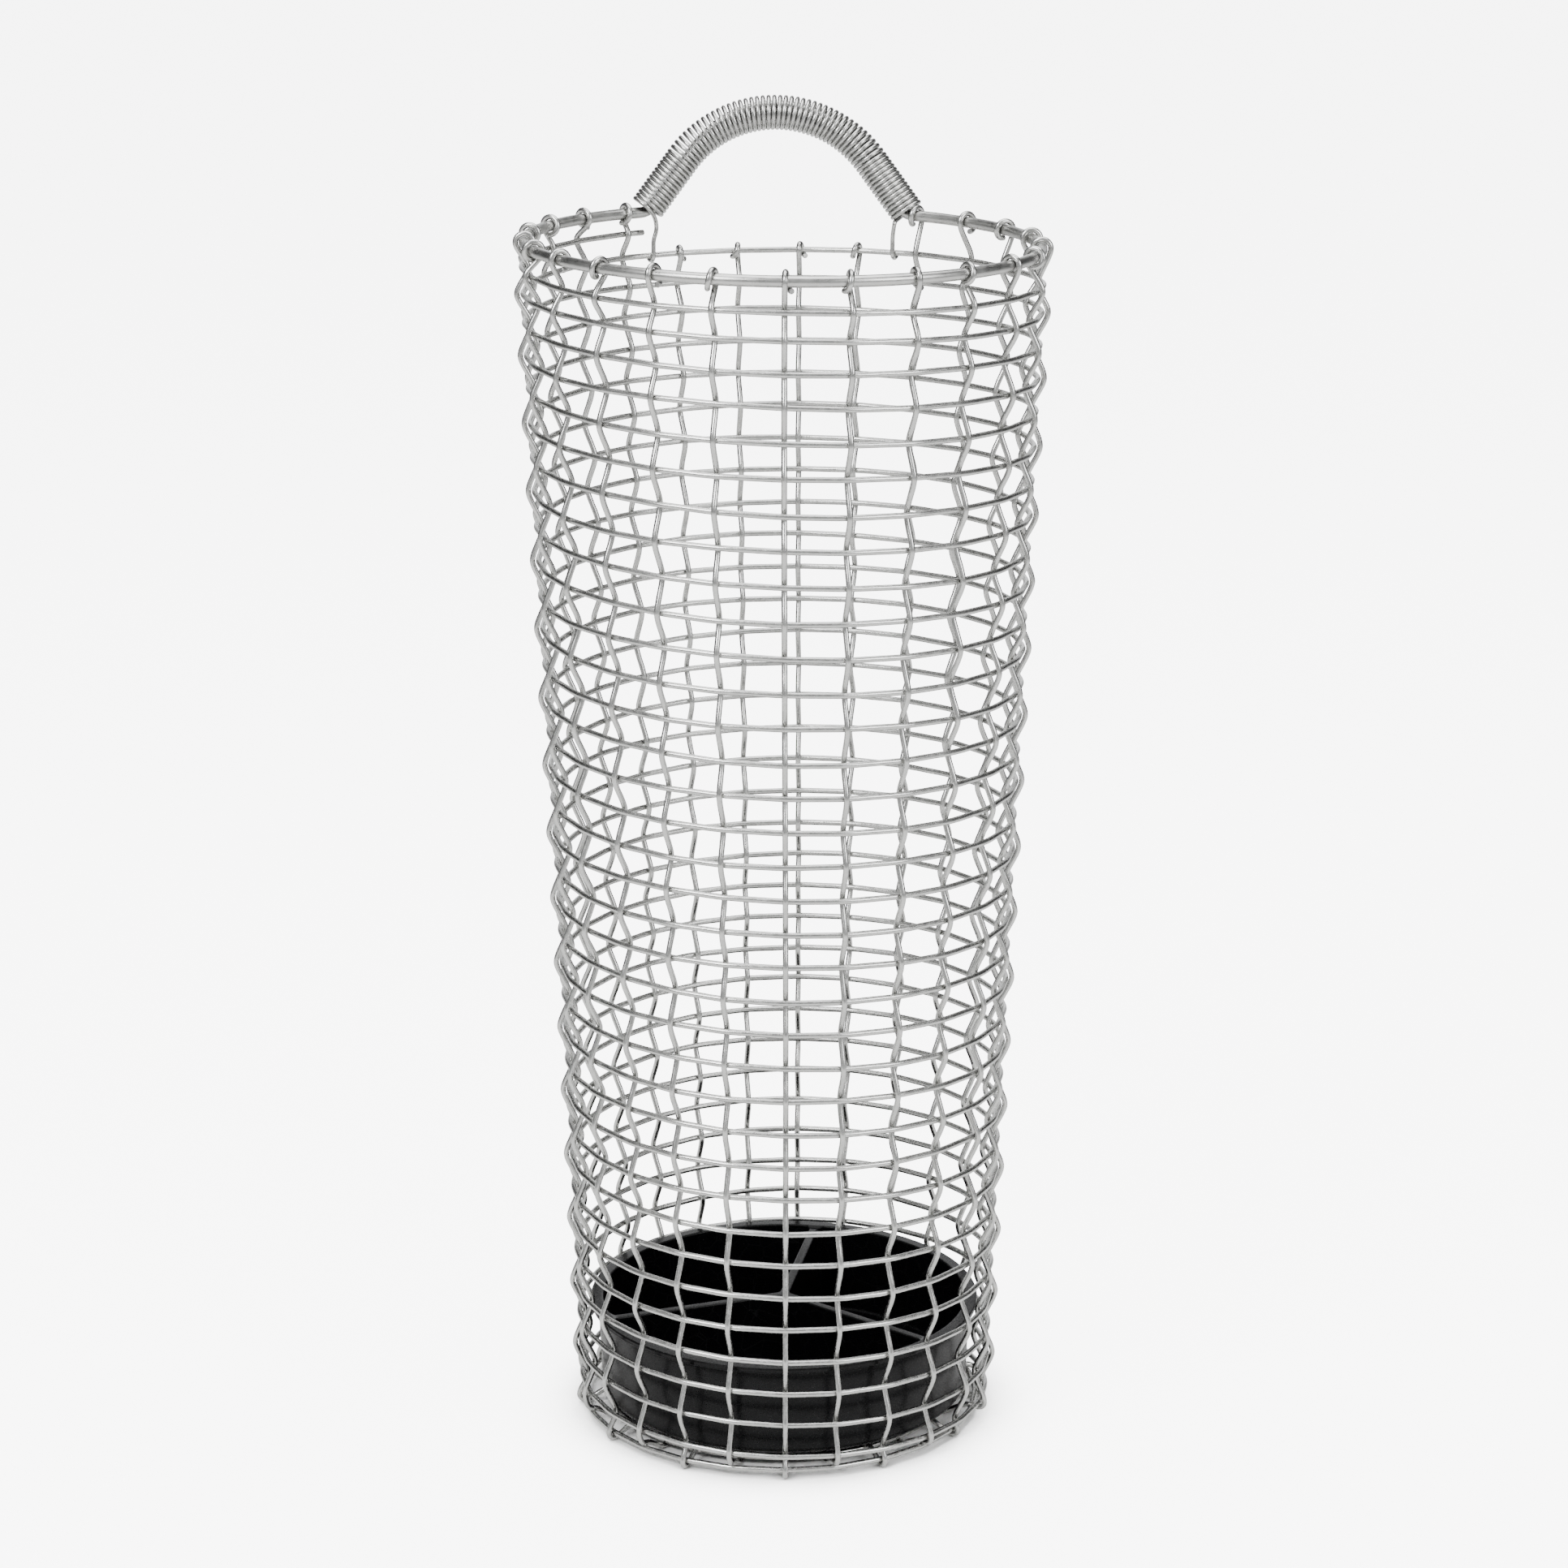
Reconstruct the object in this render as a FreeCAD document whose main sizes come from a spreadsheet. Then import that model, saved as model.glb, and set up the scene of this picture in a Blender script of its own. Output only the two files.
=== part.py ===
import FreeCAD, Part
import math
import os
from FreeCAD import Placement, Rotation, Vector

# Umbrella stand woven by hand from bright steel wire, in millimetres, standing on z = 0.
# Twenty-five upright stakes hang from a thick rim rod. One thinner wire runs round them in a
# spiral, in front of one stake and behind the next, down the tapering wall and in across the
# bottom. The rim rod rises at the back into a handle with a coil of wire as its grip, and a
# loose plastic drip dish with three dividers lies in the bottom.

doc = FreeCAD.newDocument("UmbrellaStand")

DIMENSIONS = {
    # the rim rod and the handle that it rises into
    "rim_radius": 115.0,
    "rim_height": 556.7,
    "rim_wire": 5.2,
    "handle_azimuth": 91.7,
    "handle_foot_angle": 31.4,
    "handle_rise": 52.0,
    "handle_lean": 12.0,
    "handle_leg_angle": 36.0,
    "handle_bend_run": 4.5,
    "handle_butt_gap": 0.4,
    # the coiled grip
    "grip_wire": 1.95,
    "grip_radius": 7.25,
    "grip_half_width": 62.0,
    "grip_rise": 49.1,
    "grip_end_run": 3.8,
    "grip_turns": 70,
    "grip_tail_left": 31.8,
    "grip_tail_right": 27.5,
    "grip_tail_run": 8.0,
    # the stakes
    "stake_count": 25,
    "stake_wire": 2.6,
    "stake_drift": 3.5,
    "hook_wrap": 285.0,
    "hook_shift": 3.0,
    # the weaving wire
    "weave_wire": 2.7,
    "weave_top": 551.0,
    "weave_pitch": 15.86,
    "weave_first_squeeze": 7.86,
    "weave_squeeze_turns": 1.6,
    "weave_top_radius": 116.6,
    "weave_foot_radius": 96.6,
    "weave_waist": 0.8,
    "weave_first_turn": -0.414,
    "weave_last_turn": 38.86,
    "weave_corner_turn": 35.0,
    "weave_corner_width": 0.2,
    "weave_level_off": 1.5,
    "corner_height": 6.3,
    "weave_floor_pitch": 16.0,
    # the ring in the middle of the bottom
    "hub_radius": 20.0,
    "hub_wire": 2.6,
    # how far apart crossing wires lie
    "crossing_gap": 0.15,
    # how thin wires bend: the straight length at a crossing, and the most that one crimp turns
    "crossing_run": 2.1,
    "bend_step": 30.0,
    # the drip dish
    "dish_lift": 8.5,
    "dish_height": 44.9,
    "dish_lip_radius": 92.5,
    "dish_lip_width": 6.0,
    "dish_lip_thickness": 2.6,
    "dish_wall": 2.4,
    "dish_floor": 2.6,
    "dish_foot_taper": 1.6,
    "dish_foot_round": 3.0,
    "dish_rib": 4.4,
    "dish_rib_drop": 0.8,
    "dish_rib_fillet": 3.0,
    "dish_rib_azimuth": 80.0,
}

sheet = doc.addObject("Spreadsheet::Sheet", "Dimensions")
for row, (alias, value) in enumerate(DIMENSIONS.items(), start=1):
    sheet.set(f"A{row}", alias)
    sheet.set(f"B{row}", str(value))
    sheet.setAlias(f"B{row}", alias)
doc.recompute()


def size(alias):
    """A driving dimension, read from the sheet."""
    return float(sheet.get(alias))


STAKES = int(size("stake_count"))
UP = Vector(0, 0, 1)
# centre to centre, where a stake crosses the weaving wire, and where it hooks over the rim rod
CROSSING = (size("stake_wire") + size("weave_wire")) / 2 + size("crossing_gap")
RIM_HOOK = (size("stake_wire") + size("rim_wire")) / 2 + size("crossing_gap")
# the bottom turns lie one crossing above the stakes that touch the ground
FLOOR_LEVEL = size("stake_wire") / 2 + CROSSING
# how far the wall comes in for each millimetre down
WALL_SLOPE = (size("weave_top_radius") - size("weave_foot_radius")) / (size("weave_top") - FLOOR_LEVEL)
# a crossing no higher than this over the bottom turns counts as one of them
NEARLY_FLOOR = 0.6
# two ways closer than this, in radians, count as the same
STRAIGHT = 1e-5


# ---- paths of wire through stations, and what is swept along them ----


def arc_edge(start, way, end):
    """The edge that leaves start along way and ends at end: an arc, or a line where it is straight."""
    chord = end - start
    along = Vector(chord).normalize()
    half_turn = way.getAngle(chord)
    if half_turn < STRAIGHT:
        return Part.LineSegment(start, end).toShape()
    side = (way - along * way.dot(along)).normalize()
    middle = (start + end) / 2 + side * (chord.Length / 2 * math.tan(half_turn / 2))
    return Part.Arc(start, middle, end).toShape()


def biarc(start, start_way, end, end_way):
    """Two arcs, tangent to each other, that leave start along start_way and reach end along end_way."""
    span = end - start
    spread = 2 * (1 - start_way.dot(end_way))
    forward = span.dot(start_way + end_way)
    if spread < 1e-9:
        reach = span.dot(span) / (2 * forward)
    else:
        reach = (math.sqrt(forward**2 + spread * span.dot(span)) - forward) / spread
    joint = (start + start_way * reach + end - end_way * reach) / 2
    joint_way = (end - end_way * reach - start - start_way * reach).normalize()
    if max(start_way.getAngle(span), end_way.getAngle(span)) < STRAIGHT:
        return [Part.LineSegment(start, end).toShape()]
    return [arc_edge(start, start_way, joint), arc_edge(joint, joint_way, end)]


def bent_path(stations):
    """One rod's path through stations, a list of (point, way the rod runs there), in tangent arcs."""
    edges = []
    for (start, start_way), (end, end_way) in zip(stations, stations[1:]):
        edges += biarc(start, start_way, end, end_way)
    return Part.Wire(edges)


def crimped_path(stations):
    """A thin wire's path through stations, in straight runs that meet at crimps.

    A stretch that ends running the way it started is one straight run. A bend is several runs,
    none turning by more than bend_step.
    """
    points = [stations[0][0]]
    for (start, start_way), (end, end_way) in zip(stations, stations[1:]):
        if start_way.getAngle(end_way) < STRAIGHT:
            points.append(end)
            continue
        for edge in biarc(start, start_way, end, end_way):
            turn = math.degrees(edge.LastParameter - edge.FirstParameter)
            arc = isinstance(edge.Curve, Part.Circle)
            runs = math.ceil(turn / size("bend_step")) if arc else 1
            points += edge.discretize(runs + 1)[1:]
    return Part.makePolygon(points)


def swept_wire(name, path_shape, thickness_alias, transition):
    """A round wire swept along a path, as thick as the sheet says."""
    path = doc.addObject("Part::Feature", f"{name}_path")
    path.Shape = path_shape
    section = doc.addObject("Part::Circle", f"{name}_section")
    section.setExpression("Radius", f"Dimensions.{thickness_alias} / 2")
    first = path_shape.OrderedEdges[0]
    start = path_shape.OrderedVertexes[0].Point
    section.Placement = Placement(start, Rotation(UP, first.tangentAt(first.FirstParameter)))
    piece = doc.addObject("Part::Sweep", name)
    piece.Sections = [section]
    piece.Spine = (path, [f"Edge{i + 1}" for i in range(len(path_shape.Edges))])
    piece.Solid = True
    piece.Frenet = False
    piece.Transition = transition
    piece.Label = name
    return piece


def on_plane(azimuth, radius, height, shift=0.0):
    """The point of the upright plane at azimuth, and shift along the tangent, counter-clockwise."""
    turn = math.radians(azimuth)
    return Vector(
        radius * math.cos(turn) - shift * math.sin(turn),
        radius * math.sin(turn) + shift * math.cos(turn),
        height,
    )


def way_on_plane(azimuth, outward, upward, shift=0.0):
    return on_plane(azimuth, outward, upward, shift).normalize()


# ---- the weave: a spiral counted in turns from the front stake, counter-clockwise ----


def softened(value, width):
    """Zero for a value well below zero and the value itself well above, with a soft bend between."""
    return width * math.log1p(math.exp(value / width))


def stake_azimuth(turn):
    """Where round the stand a turn of the spiral is. The hand-set stakes drift a little at the back."""
    angle = 360 * turn
    return 270 + angle + size("stake_drift") * (1 - math.cos(math.radians(angle))) / 2


def weave_height(turn):
    squeeze = size("weave_first_squeeze") * math.exp(-turn / size("weave_squeeze_turns"))
    on_wall = size("weave_top") - size("weave_pitch") * turn - squeeze
    return FLOOR_LEVEL + softened(on_wall - FLOOR_LEVEL, size("weave_level_off"))


def weave_radius(turn):
    top, foot = size("weave_top_radius"), size("weave_foot_radius")
    share = (weave_height(turn) - FLOOR_LEVEL) / (size("weave_top") - FLOOR_LEVEL)
    on_wall = foot + (top - foot) * share - 4 * size("weave_waist") * share * (1 - share)
    inward = softened(turn - size("weave_corner_turn"), size("weave_corner_width"))
    return on_wall - size("weave_floor_pitch") * inward


def weave_point(turn):
    return on_plane(stake_azimuth(turn), weave_radius(turn), weave_height(turn))


def weave_path():
    """The weaving wire is pulled straight from stake to stake, so it bends only where they cross."""
    first, last = size("weave_first_turn"), size("weave_last_turn")
    stakes_passed = range(math.ceil(first * STAKES), math.floor(last * STAKES) + 1)
    turns = [first] + [number / STAKES for number in stakes_passed] + [last]
    return Part.makePolygon([weave_point(turn) for turn in turns])


# ---- the stakes ----


def crossing_turns(index):
    """The turns at which a stake crosses the weaving wire, from the top down."""
    first = index - STAKES
    if first / STAKES < size("weave_first_turn"):
        first = index
    last = int(size("weave_last_turn") * STAKES)
    return [(number, number / STAKES) for number in range(first, last + 1, STAKES)]


def hook_stations(azimuth, radius, height, reach, side, hand):
    """The hook at a stake's top, from its cut tip over the rod to where the stake starts down.

    reach is the hook's own radius, side is 1 where the stake leaves outside the rod and -1
    inside, and the tip lies beside the stake, shifted towards hand.
    """
    wrap = math.radians(size("hook_wrap"))
    shift = hand * size("hook_shift")
    stations = []
    for step in range(4):
        left = 1 - step / 3
        angle = wrap * left
        point = on_plane(
            azimuth,
            radius + side * reach * math.cos(angle),
            height + reach * math.sin(angle),
            shift * left**2,
        )
        way = way_on_plane(
            azimuth,
            side * reach * math.sin(angle),
            -reach * math.cos(angle),
            -2 * shift * left / wrap,
        )
        stations.append((point, way))
    return stations


def corner_wrap(above_floor):
    """How far round the corner turn a stake wraps, in radians: less where the turn is still high."""
    raised = max(0, (above_floor / size("corner_height") - 0.375) / 0.625)
    return math.radians(90 - 45 * raised)


def stake_stations(index):
    azimuth = stake_azimuth(index / STAKES)
    crossings = crossing_turns(index)
    down = way_on_plane(azimuth, -WALL_SLOPE, -1)
    inward = way_on_plane(azimuth, -1, 0)
    number, turn = crossings[0]
    # the stakes between the handle's feet hook over the weave's first turn, the others over the rim
    between_feet = abs(index / STAKES - 0.5) < size("handle_foot_angle") / 360
    side = 1 if number % 2 else -1
    if between_feet:
        at = weave_radius(turn), weave_height(turn)
        stations = hook_stations(azimuth, *at, CROSSING, side, side)
        crossings = crossings[1:]
    else:
        at = size("rim_radius"), size("rim_height")
        stations = hook_stations(azimuth, *at, RIM_HOOK, -side, -side)
    half_run = size("crossing_run") / 2
    turned_in = False
    for number, turn in crossings:
        side = 1 if number % 2 else -1
        radius, height = weave_radius(turn), weave_height(turn)
        above_floor = height - FLOOR_LEVEL
        wraps = side > 0 and not turned_in and above_floor < size("corner_height")
        beside = on_plane(azimuth, radius + side * CROSSING, height)
        if wraps:
            # the last time that it passes outside, a stake wraps under the turn and heads inward
            room = stations[-1][0].z - height
            if room > 2 * CROSSING:
                stations.append((beside - down * half_run, down))
            if room > half_run:
                stations.append((beside, down))
            wrap = corner_wrap(above_floor)
            reach = CROSSING * math.cos(wrap), CROSSING * math.sin(wrap)
            under = on_plane(azimuth, radius + reach[0], height - reach[1])
            onward = way_on_plane(azimuth, -math.sin(wrap), -math.cos(wrap))
            stations += [(under, onward), (under + onward * half_run, onward)]
            turned_in = True
        elif above_floor > NEARLY_FLOOR:
            stations += [(beside - down * half_run, down), (beside + down * half_run, down)]
        else:
            over = on_plane(azimuth, radius, height - side * CROSSING)
            stations += [(over - inward * half_run, inward), (over + inward * half_run, inward)]
            turned_in = True
    # the spoke ends in a half hook round the hub ring, from the other side than its last crossing
    hub = size("hub_radius")
    stations += [
        (on_plane(azimuth, hub, FLOOR_LEVEL + side * CROSSING), inward),
        (on_plane(azimuth, hub - CROSSING, FLOOR_LEVEL), -UP * side),
        (on_plane(azimuth, hub, FLOOR_LEVEL - side * CROSSING), -inward),
    ]
    return stations


# ---- the rim rod, and the coiled grip over the arch of its handle ----

HANDLE_AZIMUTH = size("handle_azimuth")
ACROSS = way_on_plane(HANDLE_AZIMUTH, 0, 0, -1)
LEAN = math.radians(size("handle_lean"))
RISE = way_on_plane(HANDLE_AZIMUTH, math.sin(LEAN), math.cos(LEAN))
FOOT_ANGLE = math.radians(size("handle_foot_angle"))
FOOT_LINE = on_plane(
    HANDLE_AZIMUTH, size("rim_radius") * math.cos(FOOT_ANGLE), size("rim_height")
)
LEG_ANGLE = math.radians(size("handle_leg_angle"))


def on_arch_plane(across, rise):
    return FOOT_LINE + ACROSS * across + RISE * rise


def arch_size(half_width, rise):
    """The crown's radius and the length of the straight legs below it."""
    slope = math.sin(LEG_ANGLE)
    radius = (half_width * math.cos(LEG_ANGLE) - rise * slope) / (1 - slope)
    leg = (rise * math.cos(LEG_ANGLE) - half_width * (1 - slope)) / (1 - slope)
    return radius, leg


def arch_half(half_width, rise, side, run=0.0):
    """Stations from run up the leg on one side (1 is right, -1 left) to the crown."""
    radius, leg = arch_size(half_width, rise)
    up_leg = (ACROSS * (-side * math.sin(LEG_ANGLE)) + RISE * math.cos(LEG_ANGLE)).normalize()
    foot = on_arch_plane(side * half_width, 0)
    crown = on_arch_plane(0, rise)
    return [(foot + up_leg * run, up_leg), (foot + up_leg * leg, up_leg), (crown, ACROSS * -side)]


def reversed_stations(stations):
    return [(point, -way) for point, way in reversed(stations)]


def rim_stations():
    """From the crown down the right leg, round the ring and up the left leg to the crown."""
    run, gap = size("handle_bend_run"), size("handle_butt_gap") / 2
    half_width = size("rim_radius") * math.sin(FOOT_ANGLE)
    right = arch_half(half_width, size("handle_rise"), 1, run)
    left = arch_half(half_width, size("handle_rise"), -1, run)
    # the rod's two ends stop just short of each other at the crown, hidden in the grip
    right[-1] = (right[-1][0] + ACROSS * gap, right[-1][1])
    left[-1] = (left[-1][0] - ACROSS * gap, left[-1][1])
    clear = size("handle_foot_angle") + math.degrees(run / size("rim_radius"))
    start, steps = HANDLE_AZIMUTH - clear, 6
    sweep = 2 * clear - 360
    ring = []
    for step in range(steps + 1):
        azimuth = start + sweep * step / steps
        point = on_plane(azimuth, size("rim_radius"), size("rim_height"))
        ring.append((point, way_on_plane(azimuth, 0, 0, -1)))
    return reversed_stations(right) + ring + left


def grip_turn_point(run, outer):
    """A point of the coil, on its inner or outer side, where the inner side has come run along."""
    half_width, rise = size("grip_half_width"), size("grip_rise")
    reach = size("grip_radius")
    radius, leg = arch_size(half_width, rise)
    inner_radius = radius - reach
    crown_angle = math.pi / 2 - LEG_ANGLE
    straight = leg - size("grip_end_run")
    half = straight + inner_radius * crown_angle
    side = 1 if run < half else -1
    from_crown = abs(half - run)
    offset = reach if outer else -reach
    if from_crown <= inner_radius * crown_angle:
        turn = from_crown / inner_radius
        across = (radius + offset) * math.sin(turn)
        height = rise - radius + (radius + offset) * math.cos(turn)
    else:
        down = from_crown - inner_radius * crown_angle
        across = (radius + offset) * math.cos(LEG_ANGLE) + down * math.sin(LEG_ANGLE)
        height = rise - radius + (radius + offset) * math.sin(LEG_ANGLE) - down * math.cos(LEG_ANGLE)
    return on_arch_plane(side * across, height), 2 * half


def tail_stations(angle, side):
    """A tail of the grip's wire, from above down to its hook round the weave's first turn."""
    azimuth = HANDLE_AZIMUTH - side * angle
    turn = (azimuth - 270) / 360 + 1
    turn -= size("stake_drift") * (1 - math.cos(2 * math.pi * turn)) / 720
    # between two stakes the weave runs straight, so it lies a little inside its own spiral there
    share = turn * STAKES % 1
    inside = 4 * share * (1 - share) * (1 - math.cos(math.pi / STAKES))
    radius, height = weave_radius(turn) * (1 - inside), weave_height(turn)
    reach = (size("grip_wire") + size("weave_wire")) / 2 + size("crossing_gap")
    outward = way_on_plane(azimuth, 1, 0)
    return [
        (on_plane(azimuth, radius - reach, height + size("grip_tail_run")), -UP),
        (on_plane(azimuth, radius - reach, height), -UP),
        (on_plane(azimuth, radius, height - reach), outward),
        (on_plane(azimuth, radius + reach, height), UP),
    ]


def grip_stations():
    """The coil in half turns, each square to the plane of the arch at both its ends, and its tails."""
    turns = int(size("grip_turns"))
    across_plane = ACROSS.cross(RISE).normalize()
    length = grip_turn_point(0, True)[1]
    stations = []
    for half_turn in range(2 * turns):
        outer = half_turn % 2 == 0
        point = grip_turn_point(length * half_turn / (2 * turns - 1), outer)[0]
        stations.append((point, across_plane if outer else -across_plane))
    right = reversed_stations(tail_stations(size("grip_tail_right"), 1))
    left = tail_stations(size("grip_tail_left"), -1)
    return right + stations[1:] + left


# ---- the drip dish ----


def primitive(body, kind, name, **sizes):
    """A PartDesign primitive with its sizes bound to the sheet."""
    feature = body.newObject(f"PartDesign::{kind}", name)
    for key, expression in sizes.items():
        feature.setExpression(key, expression)
    return feature


def raised(feature, expression):
    feature.setExpression("Placement.Base.z", expression)


def drip_dish():
    body = doc.addObject("PartDesign::Body", "drip_dish")
    body.Label = "drip_dish"
    lip = "(Dimensions.dish_lip_radius - Dimensions.dish_lip_width)"
    wall_top = f"{lip} + Dimensions.dish_wall"
    primitive(
        body,
        "AdditiveCone",
        "Wall",
        Radius1=f"{wall_top} - Dimensions.dish_foot_taper",
        Radius2=wall_top,
        Height="Dimensions.dish_height",
    )
    flange = primitive(
        body,
        "AdditiveCylinder",
        "Lip",
        Radius="Dimensions.dish_lip_radius",
        Height="Dimensions.dish_lip_thickness",
    )
    raised(flange, "Dimensions.dish_height - Dimensions.dish_lip_thickness")
    hollow = primitive(
        body,
        "SubtractiveCone",
        "Hollow",
        Radius1=f"{lip} - Dimensions.dish_foot_taper",
        Radius2=lip,
        Height="Dimensions.dish_height - Dimensions.dish_floor",
    )
    raised(hollow, "Dimensions.dish_floor")
    rib = primitive(
        body,
        "AdditiveBox",
        "Divider",
        Length=f"{lip} + (Dimensions.dish_wall - Dimensions.dish_foot_taper) / 2",
        Width="Dimensions.dish_rib",
        Height="Dimensions.dish_height - Dimensions.dish_rib_drop - Dimensions.dish_floor / 2",
    )
    rib.setExpression("Placement.Base.y", "-Dimensions.dish_rib / 2")
    raised(rib, "Dimensions.dish_floor / 2")
    doc.recompute()
    pattern = body.newObject("PartDesign::PolarPattern", "Dividers")
    pattern.Originals = [rib]
    pattern.Axis = (axis_of(body, "Z_Axis"), [""])
    pattern.Angle = 360
    pattern.Occurrences = 3
    body.Tip = pattern
    doc.recompute()
    fillet = body.newObject("PartDesign::Fillet", "DividerFillets")
    fillet.Base = (pattern, divider_corners(pattern.Shape))
    fillet.setExpression("Radius", "Dimensions.dish_rib_fillet")
    doc.recompute()
    foot = body.newObject("PartDesign::Fillet", "FootRound")
    foot.Base = (fillet, lowest_edges(fillet.Shape))
    foot.setExpression("Radius", "Dimensions.dish_foot_round")
    body.setExpression("Placement.Base.z", "Dimensions.dish_lift")
    body.Placement = Placement(
        Vector(0, 0, size("dish_lift")), Rotation(UP, size("dish_rib_azimuth"))
    )
    return body


def axis_of(body, role):
    return next(item for item in body.Origin.OriginFeatures if item.Role == role)


def divider_corners(shape):
    """The upright corners where the dividers meet each other and the wall."""
    names = []
    for number, edge in enumerate(shape.Edges, start=1):
        box = edge.BoundBox
        tall = box.ZLength > size("dish_height") / 2
        thin = max(box.XLength, box.YLength) < size("dish_rib")
        if tall and thin:
            names.append(f"Edge{number}")
    return names


def lowest_edges(shape):
    return [
        f"Edge{number}"
        for number, edge in enumerate(shape.Edges, start=1)
        if edge.BoundBox.ZMax < 0.01
    ]


# ---- every piece, checked and written ----

pieces = [
    swept_wire("rim_rod", bent_path(rim_stations()), "rim_wire", "Transformed"),
    swept_wire("grip_coil", crimped_path(grip_stations()), "grip_wire", "Right corner"),
    swept_wire("weave_wire", weave_path(), "weave_wire", "Right corner"),
]
for index in range(STAKES):
    path = crimped_path(stake_stations(index))
    pieces.append(swept_wire(f"stake_{index + 1:02d}", path, "stake_wire", "Right corner"))

hub_ring = doc.addObject("Part::Torus", "hub_ring")
hub_ring.Label = "hub_ring"
hub_ring.setExpression("Radius1", "Dimensions.hub_radius")
hub_ring.setExpression("Radius2", "Dimensions.hub_wire / 2")
hub_ring.Placement = Placement(Vector(0, 0, FLOOR_LEVEL), Rotation())
pieces += [hub_ring, drip_dish()]

doc.recompute()
for item in doc.Objects:
    if "Invalid" in item.State or "Error" in item.State:
        raise RuntimeError(f"{item.Name} failed: {item.State}")
for piece in pieces:
    if piece.Shape.isNull() or not piece.Shape.isValid() or len(piece.Shape.Solids) != 1:
        raise RuntimeError(f"{piece.Label} isn't one valid solid")

os.makedirs("parts", exist_ok=True)
for piece in pieces:
    piece.Shape.exportStep(f"parts/{piece.Label}.step")
    box = piece.Shape.BoundBox
    print(f"{piece.Label}: {piece.Shape.Volume:.0f} mm3, z {box.ZMin:.2f} to {box.ZMax:.2f}")
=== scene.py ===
# %% [markdown]
# # A woven wire umbrella stand
# The real thing is bent from stainless steel wire by hand, with pliers and no welds. Twenty-five
# upright stakes hang from a thick rim rod by small hooks. One thinner wire winds round them in a
# spiral, in front of one stake and behind the next, all the way down and in across the bottom. The
# rim rod rises into a handle, and a coil of wire slides over it as the grip. A loose black drip
# dish lies in the bottom.
#
# Each wire here is a tube whose centre line is worked out from a few sizes, so that a learner can
# change one number and see the whole weave follow it.

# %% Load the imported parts
import bmesh
import bpy
import math
import numpy as np
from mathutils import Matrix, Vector


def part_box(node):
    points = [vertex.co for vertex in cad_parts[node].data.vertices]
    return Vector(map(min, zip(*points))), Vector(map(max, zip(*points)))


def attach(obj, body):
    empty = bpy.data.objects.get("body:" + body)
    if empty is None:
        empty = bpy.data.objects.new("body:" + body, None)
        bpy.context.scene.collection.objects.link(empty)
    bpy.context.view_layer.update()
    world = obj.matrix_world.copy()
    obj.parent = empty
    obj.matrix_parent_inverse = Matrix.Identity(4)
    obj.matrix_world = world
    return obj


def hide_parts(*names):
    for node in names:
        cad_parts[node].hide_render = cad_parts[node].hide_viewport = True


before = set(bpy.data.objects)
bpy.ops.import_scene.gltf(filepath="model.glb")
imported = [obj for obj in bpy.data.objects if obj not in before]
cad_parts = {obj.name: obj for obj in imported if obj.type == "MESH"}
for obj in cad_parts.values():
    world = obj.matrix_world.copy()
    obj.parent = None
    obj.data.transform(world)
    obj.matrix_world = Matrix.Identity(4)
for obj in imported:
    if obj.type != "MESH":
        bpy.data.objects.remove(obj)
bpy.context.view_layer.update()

# %% [markdown]
# ## The camera
# A long lens from a little under two metres away keeps the tall stand from looking as if it leans.
# It looks slightly down, so that the rim reads as an open ring and the dish shows inside.

# %% Camera
CAMERA_DISTANCE = 1.848
CAMERA_HEIGHT = 0.819
CAMERA_PITCH = math.radians(15.52)
LENS, SENSOR_WIDTH = 95.1, 36

camera_data = bpy.data.cameras.new("studio_camera")
camera_data.lens = LENS
camera_data.sensor_width = SENSOR_WIDTH
camera = bpy.data.objects.new("studio_camera", camera_data)
camera.location = (0, -CAMERA_DISTANCE, CAMERA_HEIGHT)
camera.rotation_euler = (math.pi / 2 - CAMERA_PITCH, 0, 0)
bpy.context.scene.collection.objects.link(camera)
bpy.context.scene.camera = camera
print("camera lens:", camera_data.lens, "mm")

# %% [markdown]
# ## Sizes, in millimetres
# The wire thicknesses are the maker's choice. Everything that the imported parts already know, such
# as how wide and how high the rim is, is read from their boxes.

# %% Sizes read from the parts
MM = 0.001


def box_mm(node):
    """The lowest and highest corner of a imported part, in millimetres."""
    low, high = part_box(node)
    return np.array(low) / MM, np.array(high) / MM


RIM_WIRE, STAKE_WIRE, WEAVE_WIRE, GRIP_WIRE, HUB_WIRE = 5.2, 2.6, 2.7, 2.06, 2.6
GAP = 0.15
rim_low, rim_high = box_mm("rim_rod")
RIM_RADIUS = (rim_high[0] - rim_low[0] - RIM_WIRE) / 2
RIM_HEIGHT = rim_low[2] + RIM_WIRE / 2
hub_low, hub_high = box_mm("hub_ring")
HUB_RADIUS = (hub_high[0] - hub_low[0] - HUB_WIRE) / 2
FLOOR_LEVEL = (hub_low[2] + hub_high[2]) / 2
STAKES = sum(node.startswith("stake_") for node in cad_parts)
CROSSING = (STAKE_WIRE + WEAVE_WIRE) / 2 + GAP
RIM_HOOK = (STAKE_WIRE + RIM_WIRE) / 2 + GAP
print(f"rim {RIM_RADIUS:.1f} mm at {RIM_HEIGHT:.1f} mm, {STAKES} stakes, hub {HUB_RADIUS:.1f} mm")

# %% [markdown]
# ## Points round the stand
# Almost everything is easiest to place by a compass direction, a distance from the middle and a
# height. The same helper gives directions, when the distance and height are steps instead.

# %% Points and directions
def on_plane(azimuth, radius, height, shift=0.0):
    """The point of the upright plane at azimuth, and shift along the tangent, counter-clockwise."""
    turn = math.radians(azimuth)
    cosine, sine = math.cos(turn), math.sin(turn)
    return np.array((radius * cosine - shift * sine, radius * sine + shift * cosine, height))


def unit(vector):
    return vector / np.linalg.norm(vector)


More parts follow.
